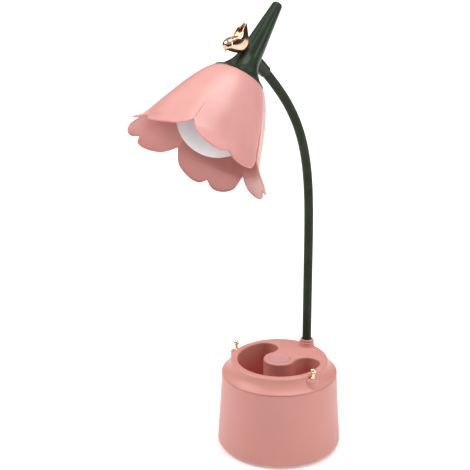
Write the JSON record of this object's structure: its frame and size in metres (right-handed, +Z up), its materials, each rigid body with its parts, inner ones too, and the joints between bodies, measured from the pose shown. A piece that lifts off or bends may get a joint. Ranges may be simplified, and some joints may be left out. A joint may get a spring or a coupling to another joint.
{
  "type": "tulip shade table lamp",
  "caption": "Desk lamp with a bell-shaped petal shade that hangs from a gooseneck over a round pot base with a curved pen well, a touch button and a small bird on the cap.",
  "frame": {"origin": "centre of the base on the surface it rests on", "axes": "+Z up; -Y is the front, over which the shade leans; +X is to the right of someone who faces the lamp's front, so the frame is right-handed"},
  "size_m": [0.1302, 0.2204, 0.4235],
  "materials": {
    "base_pink": "satin",
    "shade_pink": "satin",
    "pin_gold": "polished",
    "bird_mirror": "mirror, rose gold",
    "button_lilac": "gloss",
    "circuit_green": "solder mask",
    "steel": "zinc plated",
    "core_steel": "wound wire",
    "sleeve_green": "matt",
    "cap_green": "satin gloss",
    "pad_rubber": "matt",
    "holder_black": "matt",
    "cell_wrap": "shrink wrap",
    "lamp_white": "white enamel",
    "phosphor": "matt",
    "opal": "frosted opal"
  },
  "bodies": {
    "base": {"ballast_plate": "steel", "base_shell": "base_pink", "battery_cell": "cell_wrap", "bottom_cover": "base_pink", "bottom_screws": "steel", "cell_holder": "holder_black", "charge_socket": "steel", "ear_pin_left": "pin_gold", "ear_pin_right": "pin_gold", "main_board": "circuit_green", "neck_core_1": "core_steel", "neck_nut": "steel", "neck_ring": "base_pink", "neck_sleeve_1": "sleeve_green", "neck_stem": "steel", "rubber_feet": "pad_rubber", "top_cover": "base_pink", "touch_button": "button_lilac", "touch_sensor": "circuit_green"},
    "span_2": {"neck_sleeve_2": "sleeve_green", "neck_core_2": "core_steel"},
    "span_3": {"neck_sleeve_3": "sleeve_green", "neck_core_3": "core_steel"},
    "span_4": {"neck_sleeve_4": "sleeve_green", "neck_core_4": "core_steel"},
    "span_5": {"neck_sleeve_5": "sleeve_green", "neck_core_5": "core_steel"},
    "span_6": {"neck_sleeve_6": "sleeve_green", "neck_core_6": "core_steel"},
    "span_7": {"neck_sleeve_7": "sleeve_green", "neck_core_7": "core_steel"},
    "span_8": {"neck_sleeve_8": "sleeve_green", "neck_core_8": "core_steel"},
    "head": {"bird": "bird_mirror", "calyx_cap": "cap_green", "diffuser_dome": "opal", "head_screws": "steel", "lamp_dish": "lamp_white", "led_board": "lamp_white", "led_chips": "phosphor", "neck_core_9": "core_steel", "neck_ferrule": "cap_green", "neck_sleeve_9": "sleeve_green", "petal_shade": "shade_pink"}
  },
  "joints": [
    {"name": "lower_bow_1", "type": "hinge", "parent": "base", "child": "span_2", "pos_m": [0, 0.04, 0.12558], "axis": [1, 0, 0], "range_deg": [-12, 10]},
    {"name": "lower_sway_1", "type": "hinge", "parent": "span_2", "child": "span_3", "pos_m": [0, 0.04, 0.15776], "axis": [0, 1, 0], "range_deg": [-12, 12]},
    {"name": "lower_bow_2", "type": "hinge", "parent": "span_3", "child": "span_4", "pos_m": [0, 0.04, 0.18994], "axis": [1, 0, 0], "range_deg": [-12, 10]},
    {"name": "lower_sway_2", "type": "hinge", "parent": "span_4", "child": "span_5", "pos_m": [0, 0.03951, 0.22212], "axis": [0, 0.9995, 0.0305], "range_deg": [-12, 12]},
    {"name": "upper_bow_1", "type": "hinge", "parent": "span_5", "child": "span_6", "pos_m": [0, 0.03704, 0.25419], "axis": [1, 0, 0], "range_deg": [-12, 12]},
    {"name": "upper_sway_1", "type": "hinge", "parent": "span_6", "child": "span_7", "pos_m": [0, 0.03023, 0.28559], "axis": [0, 0.9542, 0.2992], "range_deg": [-12, 12]},
    {"name": "upper_bow_2", "type": "hinge", "parent": "span_7", "child": "span_8", "pos_m": [0, 0.01723, 0.31496], "axis": [1, 0, 0], "range_deg": [-12, 12]},
    {"name": "upper_sway_2", "type": "hinge", "parent": "span_8", "child": "head", "pos_m": [0, -0.00144, 0.34112], "axis": [0, 0.7583, 0.6519], "range_deg": [-12, 12]}
  ],
  "couplings": [
    {"joint": "lower_bow_2", "follows": "lower_bow_1", "ratio": 1},
    {"joint": "lower_sway_2", "follows": "lower_sway_1", "ratio": 1},
    {"joint": "upper_bow_2", "follows": "upper_bow_1", "ratio": 1},
    {"joint": "upper_sway_2", "follows": "upper_sway_1", "ratio": 1}
  ]
}
